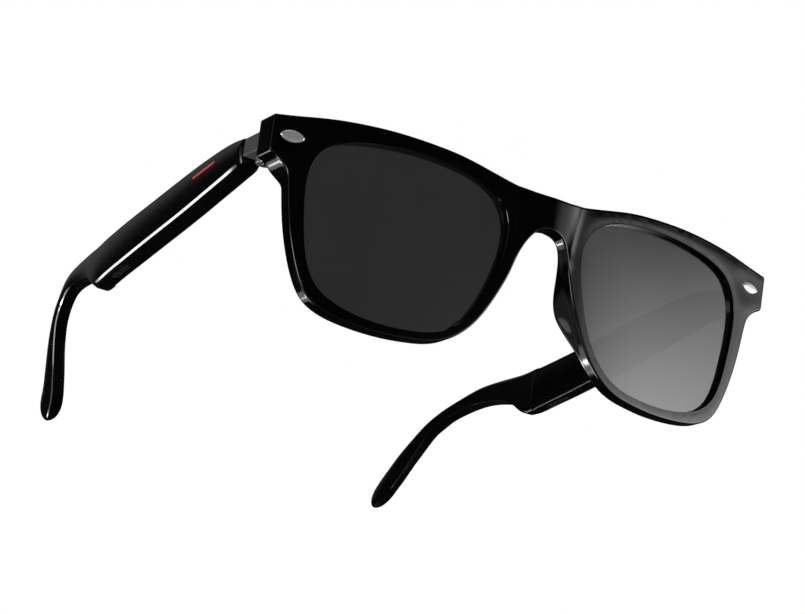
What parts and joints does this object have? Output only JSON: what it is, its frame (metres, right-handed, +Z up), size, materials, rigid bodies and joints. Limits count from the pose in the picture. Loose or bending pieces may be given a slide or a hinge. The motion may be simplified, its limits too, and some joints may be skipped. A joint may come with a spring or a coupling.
{
  "type": "smart glasses",
  "caption": "Audio sunglasses with thick electronics temples that fold on hinges, tinted lenses, oval rivets and slim curved ear pieces.",
  "frame": {"origin": "centre of the bounding box in plan, on the surface that the rims and the ear tips stand on", "axes": "+X to the wearer's left, +Y from the front towards the ear tips, +Z up"},
  "size_m": [0.147, 0.173, 0.0504],
  "materials": {
    "frame": "polished black injection-moulded frame",
    "lens": "smoke tinted lens, hard coated",
    "rivet": "polished oval rivet plate",
    "hinge_metal": "plated hinge leaf",
    "hinge_grey": "satin grey hinge block",
    "steel": "fine machined steel",
    "temple": "semi-gloss black housing",
    "cover": "satin black inner cover",
    "board": "solder-masked board",
    "battery": "foil pouch cell",
    "touch_film": "copper touch film",
    "speaker": "moulded speaker box",
    "grille": "black slotted grille",
    "port": "satin black port plate",
    "contact": "gold plated contact",
    "light_guide": "milky light guide",
    "marker": "red inlay"
  },
  "bodies": {
    "front": {"front_frame": "frame", "lens_right": "lens", "rivet_right": "rivet", "hinge_front_leaf_right": "hinge_metal", "hinge_screw_right": "steel", "lens_left": "lens", "rivet_left": "rivet", "hinge_front_leaf_left": "hinge_metal", "hinge_screw_left": "steel"},
    "temple_right": {"touch_marker": "marker", "hinge_temple_leaf_right": "hinge_grey", "temple_shell_right": "temple", "temple_cover_right": "cover", "circuit_board_right": "board", "battery_right": "battery", "touch_pad_right": "touch_film", "speaker_right": "speaker", "speaker_grille_right": "grille", "microphone_right": "steel", "charging_port_right": "port", "charging_pin_front_right": "contact", "charging_pin_rear_right": "contact", "light_guide_right": "light_guide", "core_wire_right": "steel"},
    "temple_left": {"hinge_temple_leaf_left": "hinge_grey", "temple_shell_left": "temple", "temple_cover_left": "cover", "circuit_board_left": "board", "battery_left": "battery", "touch_pad_left": "touch_film", "speaker_left": "speaker", "speaker_grille_left": "grille", "microphone_left": "steel", "charging_port_left": "port", "charging_pin_front_left": "contact", "charging_pin_rear_left": "contact", "light_guide_left": "light_guide", "core_wire_left": "steel"}
  },
  "joints": [
    {"name": "temple_right_fold", "type": "hinge", "parent": "front", "child": "temple_right", "pos_m": [-0.0693, -0.06498, 0.042], "axis": [0, 0, -1], "range_deg": [0, 87]},
    {"name": "temple_left_fold", "type": "hinge", "parent": "front", "child": "temple_left", "pos_m": [0.0693, -0.06498, 0.042], "axis": [0, 0, 1], "range_deg": [0, 74]}
  ]
}
